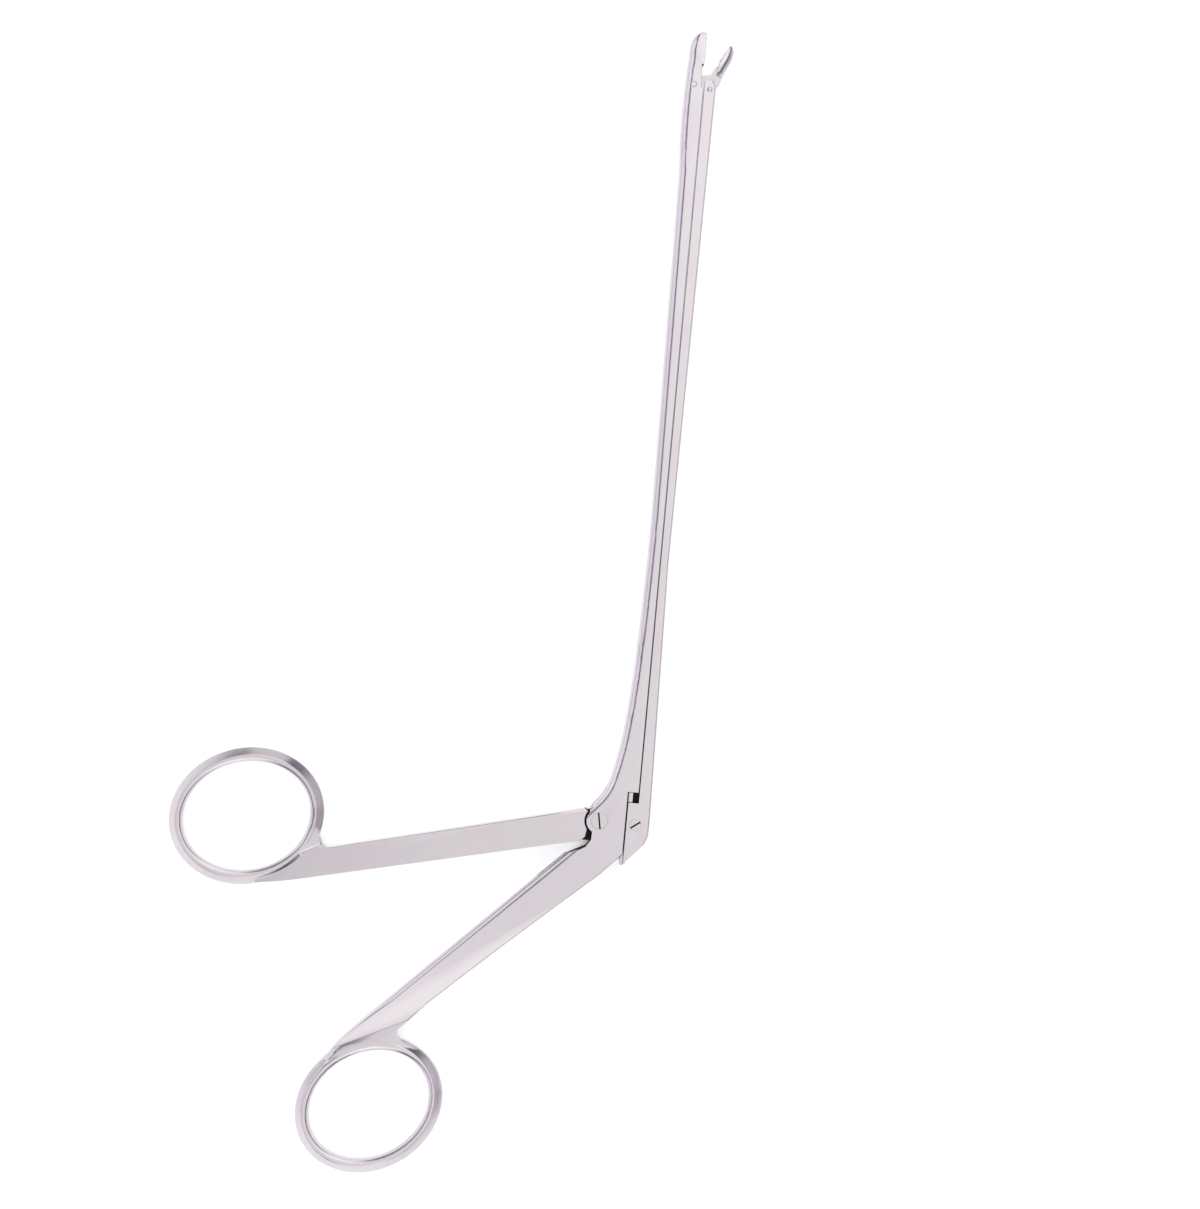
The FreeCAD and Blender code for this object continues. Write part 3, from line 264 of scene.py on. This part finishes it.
def makeSteel(name, s, p):
    steel = bpy.data.materials.new(name)
    steel.use_nodes = True
    tree = steel.node_tree
    shader = tree.nodes["Principled BSDF"]
    shader.inputs["Metallic"].default_value = 1.0
    where = tree.nodes.new("ShaderNodeTexCoord")
    grain = tree.nodes.new("ShaderNodeMapping")
    grain.inputs["Rotation"].default_value = (0, 0, math.radians(-s["turn"]))
    grain.inputs["Scale"].default_value = (1 / s["long"], 1 / s["wide"], 1 / s["wide"])
    grain.vector_type = "POINT"
    streaks = tree.nodes.new("ShaderNodeTexNoise")
    streaks.inputs["Scale"].default_value = 1.0
    streaks.inputs["Detail"].default_value = p["markDetail"]
    cloud = tree.nodes.new("ShaderNodeTexNoise")
    cloud.inputs["Scale"].default_value = p["patchScale"]
    cloud.inputs["Detail"].default_value = p["patchDetail"]
    blend = tree.nodes.new("ShaderNodeMix")
    blend.data_type = "RGBA"
    blend.blend_type = "MULTIPLY"
    blend.inputs["Factor"].default_value = 1.0
    shades = tree.nodes.new("ShaderNodeValToRGB")
    shades.color_ramp.elements[0].position = p["markSpan"][0]
    shades.color_ramp.elements[1].position = p["markSpan"][1]
    shades.color_ramp.elements[0].color = [part * p["markShade"] for part in s["tint"]] + [1]
    shades.color_ramp.elements[1].color = list(s["tint"]) + [1]
    drift = tree.nodes.new("ShaderNodeValToRGB")
    drift.color_ramp.elements[0].position = p["patchSpan"][0]
    drift.color_ramp.elements[1].position = p["patchSpan"][1]
    drift.color_ramp.elements[0].color = p["patchTint"]
    drift.color_ramp.elements[1].color = (1, 1, 1, 1)
    gloss = tree.nodes.new("ShaderNodeMapRange")
    gloss.inputs["From Min"].default_value = p["markSpan"][0]
    gloss.inputs["From Max"].default_value = p["markSpan"][1]
    gloss.inputs["To Min"].default_value = s["rough"] - p["smoother"]
    gloss.inputs["To Max"].default_value = s["rough"] + p["rougher"]
    bump = tree.nodes.new("ShaderNodeBump")
    bump.inputs["Strength"].default_value = p["bump"]
    bump.inputs["Distance"].default_value = p["depth"]
    tree.links.new(where.outputs["Object"], grain.inputs["Vector"])
    tree.links.new(grain.outputs[0], streaks.inputs["Vector"])
    tree.links.new(where.outputs["Object"], cloud.inputs["Vector"])
    tree.links.new(streaks.outputs["Fac"], shades.inputs[0])
    tree.links.new(cloud.outputs["Fac"], drift.inputs[0])
    tree.links.new(shades.outputs[0], blend.inputs["A"])
    tree.links.new(drift.outputs[0], blend.inputs["B"])
    tree.links.new(blend.outputs["Result"], shader.inputs["Base Color"])
    tree.links.new(streaks.outputs["Fac"], gloss.inputs["Value"])
    tree.links.new(gloss.outputs[0], shader.inputs["Roughness"])
    tree.links.new(streaks.outputs["Fac"], bump.inputs["Height"])
    tree.links.new(bump.outputs[0], shader.inputs["Normal"])
    return steel


# painted shade: a near-black steel that stands in for the shade in gaps, slots and wells
paintedShadeSettings = {
    "rough": 0.55,
    "scale": 900.0,
    "low": (0.020, 0.015, 0.020, 1),
    "high": (0.055, 0.045, 0.055, 1),
}


def makePaintedShadeSteel(s):
    # steel inside gaps and slots, painted near-black as the shade there, where no light reaches
    dark = bpy.data.materials.new("paintedShadeSteel")
    dark.use_nodes = True
    tree = dark.node_tree
    shader = tree.nodes["Principled BSDF"]
    shader.inputs["Metallic"].default_value = 1.0
    shader.inputs["Roughness"].default_value = s["rough"]
    where = tree.nodes.new("ShaderNodeTexCoord")
    shadeNoise = tree.nodes.new("ShaderNodeTexNoise")
    shadeNoise.inputs["Scale"].default_value = s["scale"]
    shades = tree.nodes.new("ShaderNodeValToRGB")
    shades.color_ramp.elements[0].color = s["low"]
    shades.color_ramp.elements[1].color = s["high"]
    tree.links.new(where.outputs["Object"], shadeNoise.inputs["Vector"])
    tree.links.new(shadeNoise.outputs["Fac"], shades.inputs[0])
    tree.links.new(shades.outputs[0], shader.inputs["Base Color"])
    return dark


steels = {name: makeSteel(name, s, polishSettings) for name, s in steelFinishes.items()}
paintedShadeSteel = makePaintedShadeSteel(paintedShadeSettings)
print("steels are mixed")


# pieces: each takes its solid's shape, its edges broken as a polisher leaves them

pieceSettings = {
    # places are in mm: low X, low Y, high X, high Y
    # inner: upright walls there face another piece and get painted shade; shadedLips: their broken
    # edges as well
    # shadedWells: low Z and high Z follow, and all that lies between them gets painted shade
    # edge: how wide edges are broken, whole in broad places, not at all in crisp ones, and by
    # the share elsewhere
    # cup: X in mm where its shaping starts, how much longer it gets, degrees that swing it shut
    # for the work, and how full its sides are made, where 1 leaves them
    "fixed_shaft": {"body": "frame", "finish": "forgedSatin", "slot": "satin_steel", "edge": 0.26 * mm,
                    "share": 0.45, "cup": {"start": 175.2, "longer": 0.13, "swing": 0, "fill": 1.0},
                    "inner": [(7.0, -8.6, 170, -8.2), (169, -8.0, 174.7, -4.5)],
                    "shadedLips": [(-7.6, -6.4, 7.3, -5.8), (6.9, -8.2, 7.3, -5.8), (-4.5, -0.5, 2.2, 3.3),
                             (-8.5, 0.5, -2.6, 4.5)],
                    "shadedWells": [(-16, -9, 9, 14, 1.9, 4.6)],
                    "broad": [(-70, -9, -6, 60)],
                    "crisp": [(-2, -2, 2, 2), (-60, 39, -47.2, 57), (2.4, 0.2, 5.4, 3.0)]},
    "finger_lever": {"body": "lever", "finish": "leverSatin", "slot": "satin_steel", "edge": 0.08 * mm,
                     "shadedLips": [(-4.2, 0.0, 3.0, 4.5)], "shadedWells": [(-5, -12, 3.2, 5.4, 1.9, 4.6)],
                     "crisp": [(-14.5, 62.3, -10.4, 68.5)]},
    "sliding_shaft": {"body": "slide", "finish": "slideSatin", "slot": "slide_steel", "edge": 0.08 * mm,
                      "inner": [(4.7, -8.7, 171, -8.5), (4.7, -8.7, 4.9, -6.1)],
                      "shadedLips": [(-9.0, -6.4, 4.9, -6.1)],
                      "shadedWells": [(4.7, -8.7, 28, -7.22, 2.3, 4.2), (-4, -11, 3, -6.5, 1.9, 4.6)],
                      "crisp": [(-1.8, -9.8, 1.4, -6.8)]},
    "moving_jaw": {"body": "jaw", "finish": "jawPolish", "slot": "jaw_steel", "edge": 0.05 * mm,
                   "cup": {"start": 174.7, "longer": 0.09, "swing": 28.0, "fill": 0.45}},
    "jaw_pivot_pin": {"body": "frame", "finish": "pinSteel", "slot": "pin_steel", "edge": 0.03 * mm},
    "jaw_link_pin": {"body": "slide", "finish": "pinSteel", "slot": "pin_steel", "edge": 0.03 * mm},
    "handle_pivot_screw": {"body": "frame", "finish": "screwSteel", "slot": "screw_steel", "edge": 0,
                           "shadedWells": [(-2, -2, 2, 2, 4.9, 6.42)]},
    "drive_screw": {"body": "slide", "finish": "screwSteel", "slot": "screw_steel", "edge": 0,
                    "shadedWells": [(-2, -10, 2, -6, 4.9, 6.42)]},
}

meshSettings = {
    "merge": 0.000002,        # corners nearer than this become one
    "level": 0.4,             # degrees under which neighbouring faces become one
    "sharp": 35,              # degrees from which an edge is broken
    "segments": 2,
    "smooth": 40,             # degrees up to which faces are shaded as one
    "weight": 100,            # large faces set the shading, broken edges follow
    "upright": 0.3,           # a wall's normal rises less than this
    "leaning": 0.97,          # and a broken edge's less than this
}


def liesIn(places, x, y):
    return any(at[0] < x < at[2] and at[1] < y < at[3] for at in places)


# whether a face gets painted shade: walls facing another piece, their broken edges, and all inside a
# well
def getsPaintedShade(face, s):
    x, y, z = face.center / mm
    rise = abs(face.normal.z)
    if rise < meshSettings["upright"] and liesIn(s.get("inner", []), x, y):
        return True
    if rise < meshSettings["leaning"] and liesIn(s.get("shadedLips", []), x, y):
        return True
    return any(liesIn([at], x, y) and at[4] < z < at[5] for at in s.get("shadedWells", []))


jawPivot = Vector((169.84, -6.1, 3.25)) * mm
cupHalf = 2.014 * mm          # half the width of both cups, in Z


def shapeCup(piece, s):
    # a cup's tip is drawn out a little and its sides filled out, worked on in the closed position
    swing = Matrix.Rotation(math.radians(s["swing"]), 3, "Z")
    for corner in piece.data.vertices:
        at = swing @ (corner.co - jawPivot)
        past = at.x + jawPivot.x - s["start"] * mm
        if past <= 0:
            continue
        at.x += past * s["longer"]
        if s["fill"] < 1:
            # the fullness comes in over the first millimetre
            full = cupHalf * min(1, abs(at.z) / cupHalf) ** s["fill"]
            blend = min(1, past / mm)
            at.z = math.copysign(abs(at.z) * (1 - blend) + full * blend, at.z)
        corner.co = swing.inverted() @ at + jawPivot


def breakEdges(piece, s):
    # how wide each sharp edge is broken, as a share of the bevel's width
    mesh = piece.data
    beside = {}
    for face in mesh.polygons:
        for pair in face.edge_keys:
            beside.setdefault(pair, []).append(face.normal)
    shares = mesh.attributes.new("bevel_weight_edge", "FLOAT", "EDGE")
    for edge in mesh.edges:
        sides = beside.get(edge.key, [])
        if len(sides) != 2 or sides[0].angle(sides[1], 0) < math.radians(meshSettings["sharp"]):
            continue
        first, second = (mesh.vertices[end].co for end in edge.key)
        at = (first + second) / 2 / mm
        if liesIn(s.get("crisp", []), at.x, at.y):
            continue
        whole = liesIn(s.get("broad", []), at.x, at.y)
        shares.data[edge.index].value = 1.0 if whole else s.get("share", 1.0)
    edges = piece.modifiers.new("edges", "BEVEL")
    edges.limit_method = "WEIGHT"
    edges.width = s["edge"]
    edges.segments = meshSettings["segments"]
    edges.use_clamp_overlap = False
    bpy.ops.object.modifier_apply(modifier="edges")


def finishPiece(name, s):
    piece = bpy.data.objects.new(name + "_finished", nodes[name].data.copy())
    bpy.context.scene.collection.objects.link(piece)
    bpy.ops.object.select_all(action="DESELECT")
    piece.select_set(True)
    bpy.context.view_layer.objects.active = piece
    bpy.ops.object.mode_set(mode="EDIT")
    bpy.ops.mesh.select_all(action="SELECT")
    bpy.ops.mesh.remove_doubles(threshold=meshSettings["merge"])
    bpy.ops.mesh.dissolve_limited(angle_limit=math.radians(meshSettings["level"]))
    bpy.ops.object.mode_set(mode="OBJECT")
    if "cup" in s:
        shapeCup(piece, s["cup"])
    if s["edge"]:
        breakEdges(piece, s)
    bpy.ops.object.shade_smooth_by_angle(angle=math.radians(meshSettings["smooth"]))
    flats = piece.modifiers.new("flats", "WEIGHTED_NORMAL")
    flats.weight = meshSettings["weight"]
    flats.keep_sharp = True
    bpy.ops.object.modifier_apply(modifier="flats")
    piece.data.materials.clear()
    piece.data.materials.append(steels[s["finish"]])
    # the second steel is painted shade, put on the faces in gaps, slots and wells
    piece.data.materials.append(paintedShadeSteel)
    for face in piece.data.polygons:
        face.material_index = 1 if getsPaintedShade(face, s) else 0
    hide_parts(name)
    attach(piece, s["body"])
    print(name, "is finished with", len(piece.data.polygons), "faces")


for pieceName, settings in pieceSettings.items():
    finishPiece(pieceName, settings)
